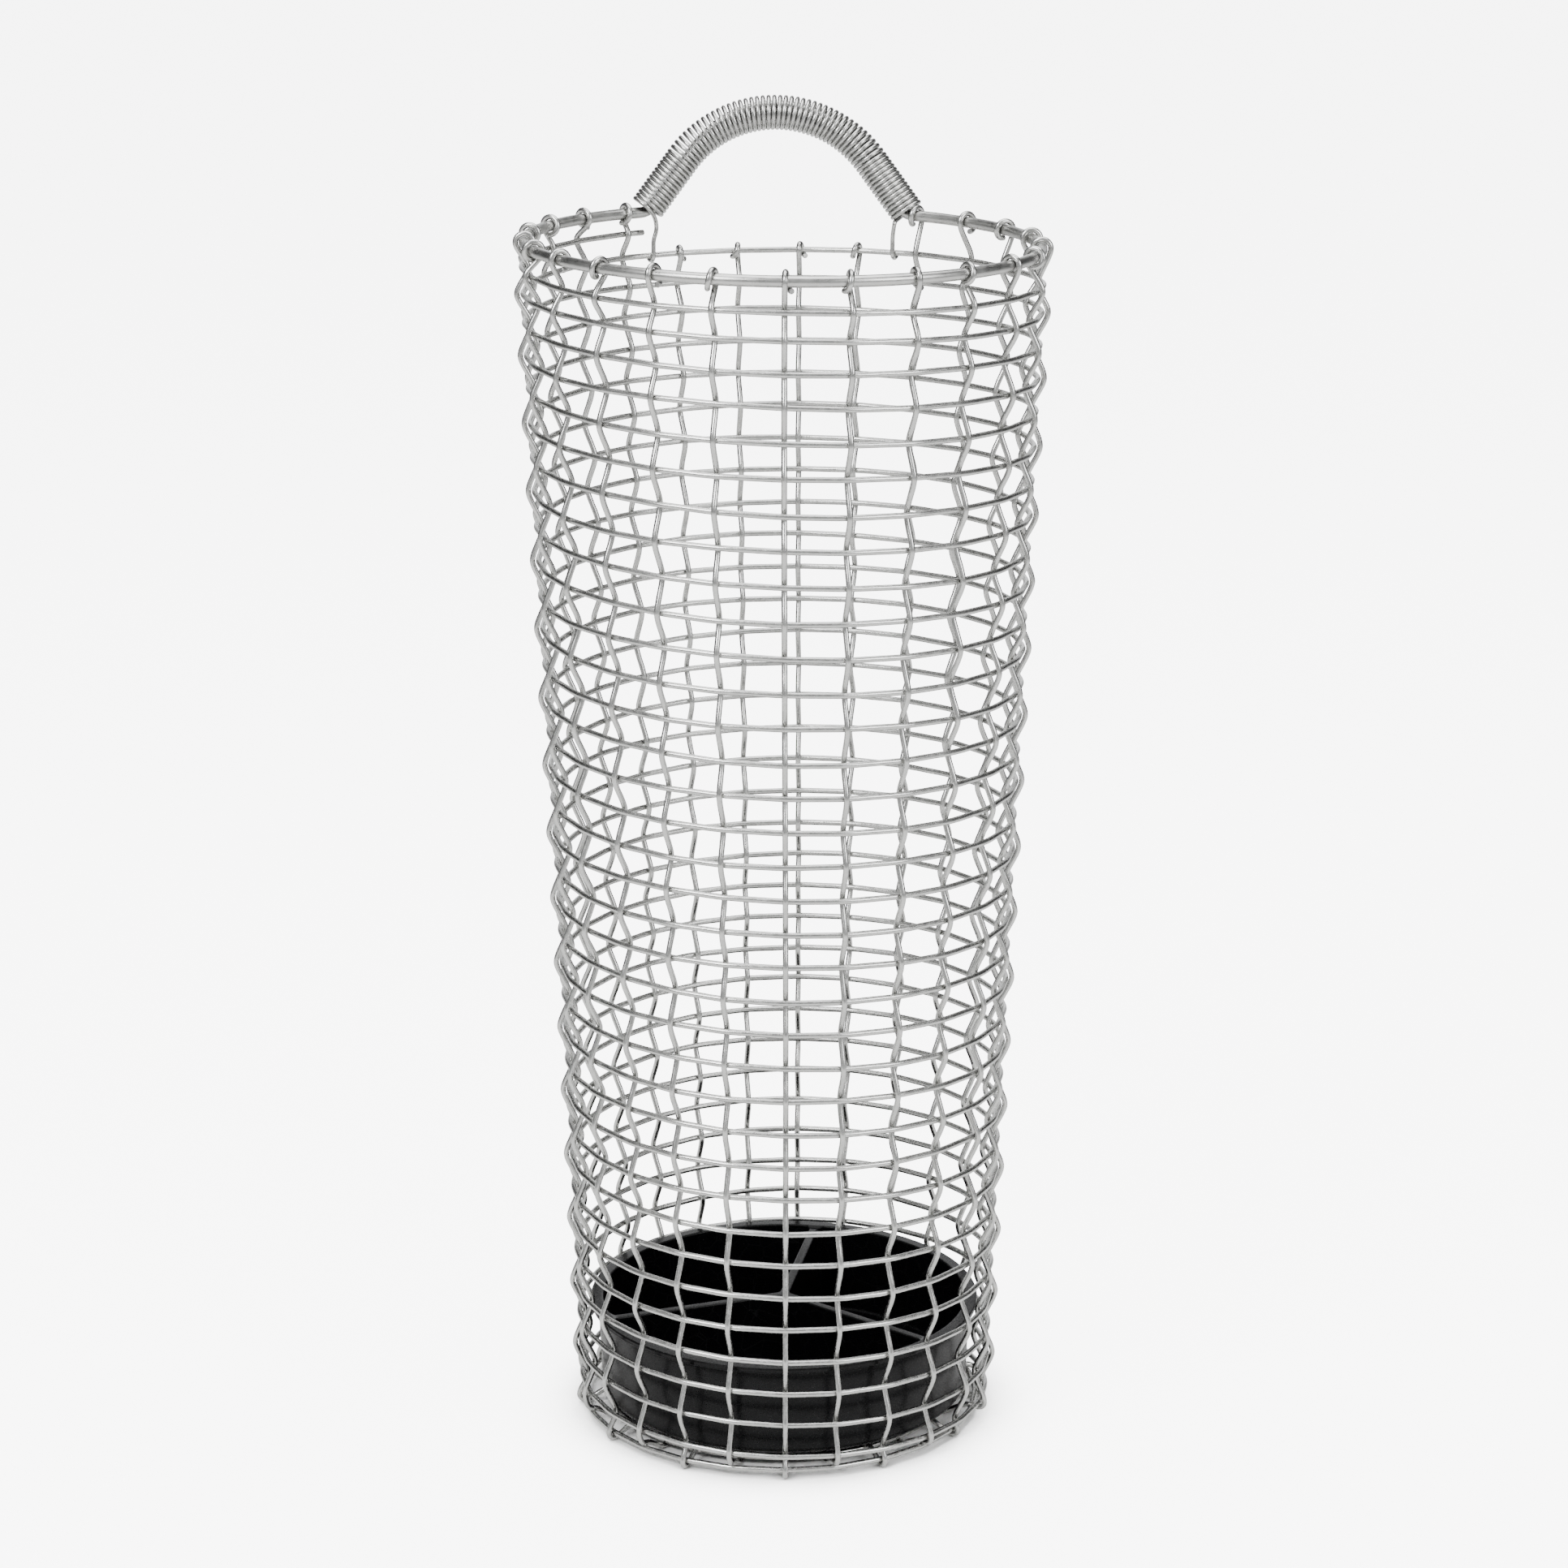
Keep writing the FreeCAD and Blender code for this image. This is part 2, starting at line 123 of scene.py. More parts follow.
def way_on_plane(azimuth, outward, upward, shift=0.0):
    return unit(on_plane(azimuth, outward, upward, shift))


print("the front of the rim:", on_plane(270, RIM_RADIUS, RIM_HEIGHT).round(1))

# %% [markdown]
# ## Bending a wire
# A bent wire is smooth, and it is fully described by where it passes and which way it runs there.
# Between two such stations a cubic Hermite curve does what the pliers do. A pull below one makes
# the straight stretches straighter and the bends at the stations tighter, as in a crimped stake.

# %% Wires through stations
STEP = 1.5
STEP_ANGLE = math.radians(14)
GENTLE = math.radians(20)


def wire_line(stations, pull=1.0):
    """Points along one smooth wire through stations, a list of (point, way the wire runs there)."""
    points = [stations[0][0]]
    for (start, start_way), (end, end_way) in zip(stations, stations[1:]):
        chord = np.linalg.norm(end - start)
        turn = math.acos(max(-1.0, min(1.0, float(np.dot(start_way, end_way)))))
        reach = chord / math.cos(turn / 4) ** 2 * (pull if turn < GENTLE else 1)
        steps = max(3, math.ceil(chord / STEP), math.ceil(turn / STEP_ANGLE))
        for step in range(1, steps + 1):
            t = step / steps
            points.append(
                start * (2 * t**3 - 3 * t**2 + 1)
                + start_way * reach * (t**3 - 2 * t**2 + t)
                + end * (3 * t**2 - 2 * t**3)
                + end_way * reach * (t**3 - t**2)
            )
    return np.array(points)


quarter = wire_line([(on_plane(0, 10, 0), way_on_plane(90, 1, 0)),
                     (on_plane(90, 10, 0), way_on_plane(180, 1, 0))])
print("a quarter bend is round within", f"{np.ptp(np.linalg.norm(quarter, axis=1)):.3f} mm")

# %% [markdown]
# ## What the hands did
# No two wires of a hand-woven basket lie quite alike. One gentle bend of the whole basket moves
# every wire together, so that crossings still touch: the wall sways, the rim is a little oval and
# it sits higher on the left. It fades to nothing at the bottom, which stands flat.
#
# Wherever hands leave things uneven, a few slow sine waves stand in for them. The waves' rates
# don't divide into each other, so nothing is seen to repeat.

# %% The whole basket's unevenness
SWAY = 0.7
SIDE_WAVE, DEPTH_WAVE = (5.3, 0.4), (4.1, 2.2)
OVAL = 0.004
RIM_TILT = 0.015
HANDLE_REACH = 1.2


def wave(place, rate, start):
    return np.sin(rate * place + start)


def hand_bent(points):
    """The same points after the small bends that weaving by hand leaves in the whole basket."""
    up = np.clip(points[:, 2] / RIM_HEIGHT, 0, HANDLE_REACH)
    lift = up**2 * (3 - 2 * np.minimum(up, 1))
    bent = points.copy()
    bent[:, 0] += SWAY * up * wave(up, *SIDE_WAVE) + OVAL * lift * points[:, 0]
    bent[:, 1] += SWAY * up * wave(up, *DEPTH_WAVE) - OVAL * lift * points[:, 1]
    bent[:, 2] -= RIM_TILT * lift * points[:, 0]
    return bent


print("the rim's left side rises", f"{RIM_TILT * RIM_RADIUS:.1f} mm")

# %% [markdown]
# ## From a line to a round wire
# Rings of points stand square to the line, and each ring is carried over from the last one
# without twisting, so that the drawn grain runs straight along the wire. The cut ends get a small
# chamfer and a flat face, as side cutters leave them. The UV map is in millimetres, round the wire
# and along it, which lets the steel's grain be set in real sizes.

# %% A tube round a line
CHAMFER = 0.12
NO_WIRE_STARTS_THIS_WAY = (0.3, 0.2, 0.9)


def carried_rings(points):
    """Two unit vectors square to the line at each point, carried along it without twist."""
    ways = np.gradient(points, axis=0)
    ways /= np.linalg.norm(ways, axis=1)[:, None]
    side = np.cross(ways[0], NO_WIRE_STARTS_THIS_WAY)
    sides = []
    for way in ways:
        side = unit(side - way * np.dot(side, way))
        sides.append(side)
    sides = np.array(sides)
    return sides, np.cross(ways, sides)


def round_wire(name, points, thickness, corners=12, closed=False):
    """A mesh tube of round wire along points, in millimetres, with chamfered ends unless closed."""
    cut = 0 if closed else thickness * CHAMFER
    if not closed:
        first_way, last_way = unit(points[1] - points[0]), unit(points[-1] - points[-2])
        points = np.vstack([points[0], points[0] + first_way * cut, points[1:-1],
                            points[-1] - last_way * cut, points[-1]])
    radii = np.full(len(points), thickness / 2)
    radii[[0, -1]] -= cut
    sides, tops = carried_rings(points)
    angles = np.arange(corners) * 2 * math.pi / corners
    rings = (
        points[:, None]
        + (radii[:, None] * np.cos(angles))[..., None] * sides[:, None]
        + (radii[:, None] * np.sin(angles))[..., None] * tops[:, None]
    )
    along = np.concatenate([[0], np.cumsum(np.linalg.norm(np.diff(points, axis=0), axis=1))])
    around = np.arange(corners + 1) * math.pi * thickness / corners
    faces, map_points = [], []
    spans = len(points) if closed else len(points) - 1
    for ring in range(spans):
        here, there = ring * corners, (ring + 1) % len(points) * corners
        far = along[ring + 1] if ring + 1 < len(points) else along[ring] + STEP
        for corner in range(corners):
            after = (corner + 1) % corners
            faces.append((here + corner, here + after, there + after, there + corner))
            low, high = around[corner], around[corner + 1]
            map_points += [(low, along[ring]), (high, along[ring]), (high, far), (low, far)]
    if not closed:
        last = (len(points) - 1) * corners
        faces += [tuple(range(corners - 1, -1, -1)), tuple(range(last, last + corners))]
        map_points += [(0, 0)] * corners + [(0, along[-1])] * corners
    mesh = bpy.data.meshes.new(name)
    mesh.from_pydata((rings.reshape(-1, 3) * MM).tolist(), [], faces)
    mesh.uv_layers.new(name="wire_mm").data.foreach_set("uv", np.array(map_points, np.float32).ravel())
    round_faces = spans * corners
    mesh.polygons.foreach_set("use_smooth", [True] * round_faces + [False] * (len(faces) - round_faces))
    piece = bpy.data.objects.new(name, mesh)
    bpy.context.scene.collection.objects.link(piece)
    return piece


# %% [markdown]
# ## Small helpers for finishes
# Colours are written as the hex values that a colour picker shows, and turned into the linear
# values that light adds up in. One function adds a shader node with its settings and links.

# %% Colour and node helpers
def linear(hex_colour):
    """An sRGB hex colour as linear red, green, blue and alpha."""
    parts = [int(hex_colour[i:i + 2], 16) / 255 for i in (1, 3, 5)]
    return tuple(c / 12.92 if c <= 0.04045 else ((c + 0.055) / 1.055) ** 2.4 for c in parts) + (1.0,)


def add(tree, kind, inputs=None, **settings):
    """Adds a shader node. An input is a value, or another node's output to link."""
    node = tree.nodes.new(kind)
    for name, value in settings.items():
        setattr(node, name, value)
    for socket, value in (inputs or {}).items():
        if isinstance(value, bpy.types.NodeSocket):
            tree.links.new(value, node.inputs[socket])
        else:
            node.inputs[socket].default_value = value
    return node


def new_material(name):
    material = bpy.data.materials.new(name)
    material.use_nodes = True
    tree = material.node_tree
    return material, tree, tree.nodes["Principled BSDF"]


print("mid grey is", [round(c, 3) for c in linear("#808080")[:3]])

# %% [markdown]
# ## Drawn stainless steel
# Wire is pulled cold through a row of dies. The dies leave fine lines along it and a satin glow
# that is broken by faint patches where the lubricant lay. So the grain is a noise stretched along
# the wire, and a slower noise varies how rough it is. Real draw lines are some hundredths of a
# millimetre apart, too fine to show, so they are drawn 0.3 to 0.4 mm apart here. The patches are
# 3 to 5 mm long. Steel is a metal, so its colour is in its reflection.

# %% Steel for the three wires
GRAIN_STRETCH = 0.06
LINE_DEPTH, PATCH_DEPTH = 0.05, 0.10
SMOOTHER, ROUGHER = 0.07, 0.09


def drawn_steel(name, pale, dull, roughness, line_spacing, patch_length):
    material, tree, shader = new_material(name)
    wire_map = add(tree, "ShaderNodeUVMap", uv_map="wire_mm")
    grain = (1 / line_spacing, GRAIN_STRETCH / line_spacing, 1)
    stretched = add(tree, "ShaderNodeMapping", {"Vector": wire_map.outputs["UV"], "Scale": grain})
    lines = add(tree, "ShaderNodeTexNoise",
                {"Vector": stretched.outputs["Vector"], "Scale": 1.0, "Detail": 3.0, "Roughness": 0.6})
    place = add(tree, "ShaderNodeTexCoord")
    patches = add(tree, "ShaderNodeTexNoise",
                  {"Vector": place.outputs["Object"], "Scale": 1 / (patch_length * MM), "Detail": 4.0})
    colour = add(tree, "ShaderNodeMix", {"Factor": patches.outputs["Fac"]}, data_type="RGBA")
    colour.inputs[6].default_value = linear(dull)
    colour.inputs[7].default_value = linear(pale)
    both = add(tree, "ShaderNodeMath",
               {0: lines.outputs["Fac"], 1: patches.outputs["Fac"]}, operation="ADD")
    rough = add(tree, "ShaderNodeMapRange",
                {"Value": both.outputs["Value"], "From Min": 0.6, "From Max": 1.4,
                 "To Min": roughness - SMOOTHER, "To Max": roughness + ROUGHER})
    line_bump = add(tree, "ShaderNodeBump",
                    {"Height": lines.outputs["Fac"], "Strength": 0.25, "Distance": LINE_DEPTH * MM})
    patch_bump = add(tree, "ShaderNodeBump",
                     {"Height": patches.outputs["Fac"], "Strength": 0.25, "Distance": PATCH_DEPTH * MM,
                      "Normal": line_bump.outputs["Normal"]})
    shader.inputs["Metallic"].default_value = 1.0
    tree.links.new(colour.outputs[2], shader.inputs["Base Color"])
    tree.links.new(rough.outputs["Result"], shader.inputs["Roughness"])
    tree.links.new(patch_bump.outputs["Normal"], shader.inputs["Normal"])
    return material


ROD_STEEL = drawn_steel("drawn_stainless_rod", "#c2c2c0", "#a6a6a4", 0.30, 0.4, 5)
WIRE_STEEL = drawn_steel("drawn_stainless_wire", "#cacac8", "#aaaaa8", 0.25, 0.3, 3)
GRIP_STEEL = drawn_steel("drawn_stainless_spring_wire", "#c8c8c6", "#aaaaa8", 0.24, 0.3, 3)
print("steels:", ROD_STEEL.name, WIRE_STEEL.name, GRIP_STEEL.name)

# %% [markdown]
# ## Putting a wire in place
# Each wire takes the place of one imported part, moves with the basket, and gets its steel.

# %% Place a wire
def basket_wire(node, line, thickness, steel, corners=12, closed=False):
    piece = round_wire(f"{node}_wire", hand_bent(line), thickness, corners, closed)
    piece.data.materials.append(steel)
    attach(piece, "basket")
    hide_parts(node)
    return piece


# %% [markdown]
# ## The weave
# The weaving wire is one spiral. It is counted in turns from the front stake, counter-clockwise
# seen from above. It goes down by one pitch a turn, closer together under the rim, and the basket
# narrows towards the foot with a slight waist. At the bottom it turns in and lies flat.
#
# The wire was pulled tight, so between two stakes it is straighter than the round wall, and each
# row wanders a little up and down. The stakes are placed from the same sums, so they still meet it.

# %% The spiral's height and radius
BELOW_RIM, OUTSIDE_RIM = 5.7, 1.6
WEAVE_TOP, TOP_RADIUS = RIM_HEIGHT - BELOW_RIM, RIM_RADIUS + OUTSIDE_RIM
WEAVE_PITCH = 15.86
FIRST_SQUEEZE, SQUEEZE_TURNS = 7.86, 1.6
FOOT_RADIUS = 96.6
WAIST = 0.8
FIRST_TURN, LAST_TURN, CORNER_TURN = -0.414, 38.86, 35.0
FLOOR_PITCH = 16.0
LEVEL_OFF, CORNER_WIDTH = 1.5, 0.2
ROW_WANDER = 0.55
ROW_WAVES = ((1 / 1.4, 6.61, 1.0), (0.7 / 1.4, 15.3, 0.0), (0.5 / 1.4, 29.7, 2.0))
FADE_ROWS = 4
STRAIGHTENED = 0.6
WALL_SLOPE = (TOP_RADIUS - FOOT_RADIUS) / (WEAVE_TOP - FLOOR_LEVEL)


def wandering(place, waves):
    """The sum of a few waves, each given as (share, rate, start)."""
    return sum(share * wave(place, rate, start) for share, rate, start in waves)


def softened(value, width):
    """Zero well below zero, the value itself well above, and a soft bend between."""
    return max(value, 0) + width * math.log1p(math.exp(-abs(value) / width))


def row_height(turn):
    squeeze = FIRST_SQUEEZE * math.exp(-turn / SQUEEZE_TURNS)
    return FLOOR_LEVEL + softened(WEAVE_TOP - WEAVE_PITCH * turn - squeeze - FLOOR_LEVEL, LEVEL_OFF)


def weave_height(turn):
    height = row_height(turn)
    wander = wandering(turn, ROW_WAVES)
    fade = min(1, (height - FLOOR_LEVEL) / (FADE_ROWS * WEAVE_PITCH))
    return height + ROW_WANDER * fade * wander


def weave_radius(turn):
    share = (row_height(turn) - FLOOR_LEVEL) / (WEAVE_TOP - FLOOR_LEVEL)
    on_wall = FOOT_RADIUS + (TOP_RADIUS - FOOT_RADIUS) * share - 4 * WAIST * share * (1 - share)
    return on_wall - FLOOR_PITCH * softened(turn - CORNER_TURN, CORNER_WIDTH)


print(f"row 1 at {weave_height(0):.1f} mm, row 35 at {weave_height(35):.1f} mm")

# %% [markdown]
# The stakes are set by eye, so each one is a fraction of a degree off its place, and they drift a
# little round the back. The spiral has to know that too, because stake and weave meet there.

# %% Where round the stand a turn is
BACK_DRIFT = 3.5
STAKE_WANDER = 0.45
STAKE_WAVES = ((1 / 1.8, 7, 0.7), (0.8 / 1.8, 11, 2.1))


def azimuth_of(turn):
    angle = 2 * math.pi * turn
    drift = BACK_DRIFT * (1 - math.cos(angle)) / 2
    return 270 + 360 * turn + drift + STAKE_WANDER * wandering(angle, STAKE_WAVES)


def weave_point(turn):
    sagitta = weave_radius(turn) * (1 - math.cos(math.pi / STAKES))
    between = (1 - math.cos(2 * math.pi * STAKES * turn)) / 2
    radius = weave_radius(turn) - STRAIGHTENED * sagitta * between
    return on_plane(azimuth_of(turn), radius, weave_height(turn))


POINTS_PER_CELL = 6
weave_steps = round((LAST_TURN - FIRST_TURN) * STAKES * POINTS_PER_CELL)
weave_line = np.array([weave_point(turn) for turn in np.linspace(FIRST_TURN, LAST_TURN, weave_steps)])
basket_wire("weave_wire", weave_line, WEAVE_WIRE, WIRE_STEEL)
print(f"weaving wire: {np.linalg.norm(np.diff(weave_line, axis=0), axis=1).sum() / 1000:.1f} m long")

# %% [markdown]
# ## The stakes
# A stake starts with a hook that goes nearly all the way round the rim rod, with its cut tip
# beside the stake. It then zigzags down, inside one row and outside the next. At the foot it wraps
# under the corner turn and runs in to the middle as a spoke, over and under the bottom turns.

# %% A stake's hook
HOOK_WRAP = math.radians(285)
HOOK_SHIFT = 3.0
HOOK_STEPS = 3


def hook_stations(azimuth, radius, height, reach, side, hand):
    """From the cut tip over the rod to where the stake starts down. side is 1 outside, -1 inside."""
    stations = []
    for step in range(HOOK_STEPS + 1):
        left = 1 - step / HOOK_STEPS
        angle = HOOK_WRAP * left
        across = radius + side * reach * math.cos(angle)
        point = on_plane(azimuth, across, height + reach * math.sin(angle), hand * HOOK_SHIFT * left**2)
        lean = -2 * hand * HOOK_SHIFT * left / HOOK_WRAP
        way = way_on_plane(azimuth, side * reach * math.sin(angle), -reach * math.cos(angle), lean)
        stations.append((point, way))
    return stations


# %% A whole stake
FOOT_ANGLE = 31.4
CORNER_HEIGHT = 6.3
NEARLY_FLOOR = 0.6
FULL_WRAP, LESS_WRAP, LOW_SHARE = 90, 45, 0.375


def crossing_turns(index):
    """The turns at which a stake crosses the weaving wire, from the top down, as (number, turn)."""
    first = index - STAKES if (index - STAKES) / STAKES >= FIRST_TURN else index
    return [(number, number / STAKES) for number in range(first, int(LAST_TURN * STAKES) + 1, STAKES)]


def corner_wrap(above_floor):
    """How far round the corner turn a stake wraps: less where the turn still stands high."""
    raised = max(0, (above_floor / CORNER_HEIGHT - LOW_SHARE) / (1 - LOW_SHARE))
    return math.radians(FULL_WRAP - LESS_WRAP * raised)


def stake_stations(index):
    azimuth = azimuth_of(index / STAKES)
    down, inward = way_on_plane(azimuth, -WALL_SLOPE, -1), way_on_plane(azimuth, -1, 0)
    crossings = crossing_turns(index)
    number, turn = crossings[0]
    side = 1 if number % 2 else -1
    if abs(index / STAKES - 0.5) < FOOT_ANGLE / 360:
        # between the handle's feet there is no rim, so the stake hooks over the weave's first turn
        stations = hook_stations(azimuth, weave_radius(turn), weave_height(turn), CROSSING, side, side)
        crossings = crossings[1:]
    else:
        stations = hook_stations(azimuth, RIM_RADIUS, RIM_HEIGHT, RIM_HOOK, -side, -side)
    turned_in = False
    for number, turn in crossings:
        side = 1 if number % 2 else -1
        radius, height = weave_radius(turn), weave_height(turn)
        above_floor = height - FLOOR_LEVEL
        wraps = side > 0 and not turned_in and above_floor < CORNER_HEIGHT
        room = stations[-1][0][2] - height > CROSSING
        if above_floor > NEARLY_FLOOR or (wraps and room):
            stations.append((on_plane(azimuth, radius + side * CROSSING, height), down))
        if wraps:
            wrap = corner_wrap(above_floor)
            out, below = CROSSING * math.cos(wrap), CROSSING * math.sin(wrap)
            under = on_plane(azimuth, radius + out, height - below)
            stations.append((under, way_on_plane(azimuth, -math.sin(wrap), -math.cos(wrap))))
            turned_in = True
        elif above_floor <= NEARLY_FLOOR:
            stations.append((on_plane(azimuth, radius, height - side * CROSSING), inward))
            turned_in = True
    return stations + [
        (on_plane(azimuth, HUB_RADIUS, FLOOR_LEVEL + side * CROSSING), inward),
        (on_plane(azimuth, HUB_RADIUS - CROSSING, FLOOR_LEVEL), np.array((0, 0, -side))),
        (on_plane(azimuth, HUB_RADIUS, FLOOR_LEVEL - side * CROSSING), -inward),
    ]


CRIMP_PULL = 0.74
for index in range(STAKES):
    line = wire_line(stake_stations(index), CRIMP_PULL)
    basket_wire(f"stake_{index + 1:02d}", line, STAKE_WIRE, WIRE_STEEL)
print("a stake has", len(line), "rings of points")

# %% [markdown]
# The spokes need something to end on in the middle of the bottom. A plain ring is the simplest
# thing that a wire worker would use, and each spoke closes round it with half a hook.

# %% The hub ring
RING_POINTS = 72
hub_line = np.array([on_plane(360 * i / RING_POINTS, HUB_RADIUS, FLOOR_LEVEL) for i in range(RING_POINTS)])
basket_wire("hub_ring", hub_line, HUB_WIRE, WIRE_STEEL, closed=True)

# %% [markdown]
# ## The rim rod and its handle
# The rod is twice as thick as the stakes. It goes most of the way round the mouth, bends up at the
# back on both sides and closes as an arch that leans out a little. Its two ends meet at the crown,
# where the grip hides them.

# %% The rim rod
HANDLE_AZIMUTH = 91.7
LEAN, LEG_ANGLE = math.radians(12), math.radians(36)
BEND_RUN = 4.5
ROD_END_GAP = 0.2
RING_STATIONS = 13
ACROSS = way_on_plane(HANDLE_AZIMUTH, 0, 0, -1)
RISE = way_on_plane(HANDLE_AZIMUTH, math.sin(LEAN), math.cos(LEAN))
FOOT_LINE = on_plane(HANDLE_AZIMUTH, RIM_RADIUS * math.cos(math.radians(FOOT_ANGLE)), RIM_HEIGHT)
FOOT_HALF_WIDTH = RIM_RADIUS * math.sin(math.radians(FOOT_ANGLE))
CROWN_SAG = 2.0
HANDLE_RISE = (rim_high[2] - RIM_WIRE / 2 - RIM_HEIGHT) / math.cos(LEAN) - CROWN_SAG


def on_arch(across, rise):
    return FOOT_LINE + ACROSS * across + RISE * rise


def arch_size(half_width, rise):
    """The crown's radius and the length of the straight legs below it."""
    slope = math.sin(LEG_ANGLE)
    radius = (half_width * math.cos(LEG_ANGLE) - rise * slope) / (1 - slope)
    return radius, (rise * math.cos(LEG_ANGLE) - half_width * (1 - slope)) / (1 - slope)


def arch_half(side):
    """Stations from the foot on one side (1 is right, -1 left) up the leg to the crown."""
    leg = arch_size(FOOT_HALF_WIDTH, HANDLE_RISE)[1]
    up_leg = unit(RISE * math.cos(LEG_ANGLE) - ACROSS * side * math.sin(LEG_ANGLE))
    foot = on_arch(side * FOOT_HALF_WIDTH, 0)
    crown = on_arch(side * ROD_END_GAP, HANDLE_RISE)
    return [(foot + up_leg * BEND_RUN, up_leg), (foot + up_leg * leg, up_leg), (crown, ACROSS * -side)]


def turned_round(stations):
    return [(point, -way) for point, way in reversed(stations)]


clear = FOOT_ANGLE + math.degrees(BEND_RUN / RIM_RADIUS)
ring_stations = []
for azimuth in np.linspace(HANDLE_AZIMUTH - clear, HANDLE_AZIMUTH + clear - 360, RING_STATIONS):
    ring_stations.append((on_plane(azimuth, RIM_RADIUS, RIM_HEIGHT), way_on_plane(azimuth, 0, 0, -1)))
rim_line = wire_line(turned_round(arch_half(1)) + ring_stations + arch_half(-1))
basket_wire("rim_rod", rim_line, RIM_WIRE, ROD_STEEL, corners=20)
print(f"rim rod: {np.linalg.norm(np.diff(rim_line, axis=0), axis=1).sum():.0f} mm long")

# %% [markdown]
# ## The coiled grip
# A close coil is slid over the handle before it is bent. On the outside of the bend its turns fan
# apart and on the inside they stay pressed together, so equal steps are counted on the inner side.
# Each end of the coil opens into a tail that hooks round the weave's first turn and keeps the coil
# from sliding.

# %% The coil's turns and tails
GRIP_HALF_WIDTH, GRIP_RADIUS, GRIP_TURNS = 62.0, 7.25, 70
GRIP_RISE = 49.1 - CROWN_SAG
END_RUNS = {1: 0.3, -1: 3.8}
TAIL_ANGLES = {1: 28.6, -1: 30.6}
TAIL_RISE = 6.0
OPENED_RISE, OPENED_SWING = 13.0, 0.8
TURN_TRIES = 4
COIL_STEPS = 24
COIL_START, PAST_LAST = 0.5, 0.2


def coil_point(turn):
    """The coil's point after that many turns, counted from the grip's right end."""
    radius, leg = arch_size(GRIP_HALF_WIDTH, GRIP_RISE)
    inner = radius - GRIP_RADIUS
    crown_angle = math.pi / 2 - LEG_ANGLE
    right_half, left_half = (leg - END_RUNS[side] + inner * crown_angle for side in (1, -1))
    run = right_half - (right_half + left_half) * turn / (GRIP_TURNS - COIL_START)
    side = 1 if run > 0 else -1
    from_crown = abs(run)
    lean = min(from_crown / inner, crown_angle)
    down = max(0, from_crown - inner * crown_angle)
    out = unit(ACROSS * side * math.sin(lean) + RISE * math.cos(lean))
    centre = on_arch(side * (radius * math.sin(lean) + down * math.cos(lean)),
                     GRIP_RISE - radius + radius * math.cos(lean) - down * math.sin(lean))
    angle = 2 * math.pi * turn
    return centre + GRIP_RADIUS * (out * math.cos(angle) - COIL_AXIS * math.sin(angle))


def tail_stations(side):
    """A tail of the grip's wire, from above down to its hook round the weave's first turn."""
    azimuth = HANDLE_AZIMUTH - side * TAIL_ANGLES[side]
    turn = (azimuth - 270) / 360 + 1
    for _ in range(TURN_TRIES):
        turn -= (azimuth_of(turn) - azimuth - 360) / 360
    radius, height = weave_radius(turn), weave_height(turn)
    reach = (GRIP_WIRE + WEAVE_WIRE) / 2 + GAP
    down = np.array((0, 0, -1.0))
    opened = []
    if side < 0:  # this end crosses in front of the coil before it turns down
        opened = [(on_plane(azimuth - OPENED_SWING, radius - reach, height + OPENED_RISE), down)]
    return opened + [
        (on_plane(azimuth, radius - reach, height + TAIL_RISE), down),
        (on_plane(azimuth, radius - reach, height), down),
        (on_plane(azimuth, radius, height - reach), way_on_plane(azimuth, 1, 0)),
        (on_plane(azimuth, radius + reach, height), -down),
    ]


COIL_AXIS = -unit(np.cross(ACROSS, RISE))
# the coil starts on the inner side of the arch and ends in front, where its last turn opens
coil_turns = np.linspace(COIL_START, GRIP_TURNS + PAST_LAST, GRIP_TURNS * COIL_STEPS)
coil = np.array([coil_point(turn) for turn in coil_turns])
tails = []
for side, start, following in ((1, coil[0], coil[1]), (-1, coil[-1], coil[-2])):
    tails.append(wire_line([(start, unit(start - following))] + tail_stations(side)))
grip_line = np.vstack([tails[0][:0:-1], coil, tails[1][1:]])
basket_wire("grip_coil", grip_line, GRIP_WIRE, GRIP_STEEL, corners=10)
grip_length = np.linalg.norm(np.diff(grip_line, axis=0), axis=1).sum()
print(f"grip: {GRIP_TURNS} turns from {grip_length / 1000:.1f} m of wire")

# %% [markdown]
# ## The drip dish
# The dish is injection moulded in one go, so it has no loose parts: a round tray with a flat lip,
# three dividers that meet in the middle, and soft corners everywhere that the melt had to flow
# round. Each compartment is a hollow with a rounded outline. It is lofted down from its softened
# top edge, along the wall, and round into the floor. The outside is a turned shape.

# %% The dish's sizes
dish_low, dish_high = box_mm("drip_dish")
LIP_RADIUS = (dish_high[0] - dish_low[0]) / 2
DISH_TOP, DISH_FOOT = dish_high[2], dish_low[2]
LIP_WIDTH = 6.0
INNER_RADIUS = LIP_RADIUS - LIP_WIDTH
LIP_THICKNESS, DISH_WALL, DISH_FLOOR = 2.6, 2.4, 2.6
TAPER, FOOT_ROUND = 1.6, 3.0
RIB_HALF, RIB_DROP, RIB_FADE, RIB_AZIMUTH = 2.2, 0.8, 1.5, 80.0
RIB_DRAFT = 0.3
CORNER_FILLET, FLOOR_FILLET, EDGE_ROUND = 3.0, 2.0, 0.7
RIBS = 3
HALF_SECTOR = 180 / RIBS
SECTOR_COS, SECTOR_SIN = 0.5, math.sqrt(0.75)  # of half a sector, 60 degrees
UNDER_LIP = ((2.0, 0.0), (0.3, 0.3), (-0.1, 2.0))
UNDERSIDE_SHARE = 0.5
ARC_STEPS, CORNER_STEPS, SIDE_STEPS, ROUND_STEPS, RIB_CROSS_STEPS = 28, 5, 12, 4, 3
print(f"dish {2 * LIP_RADIUS:.0f} mm across, {DISH_TOP - DISH_FOOT:.1f} mm high")

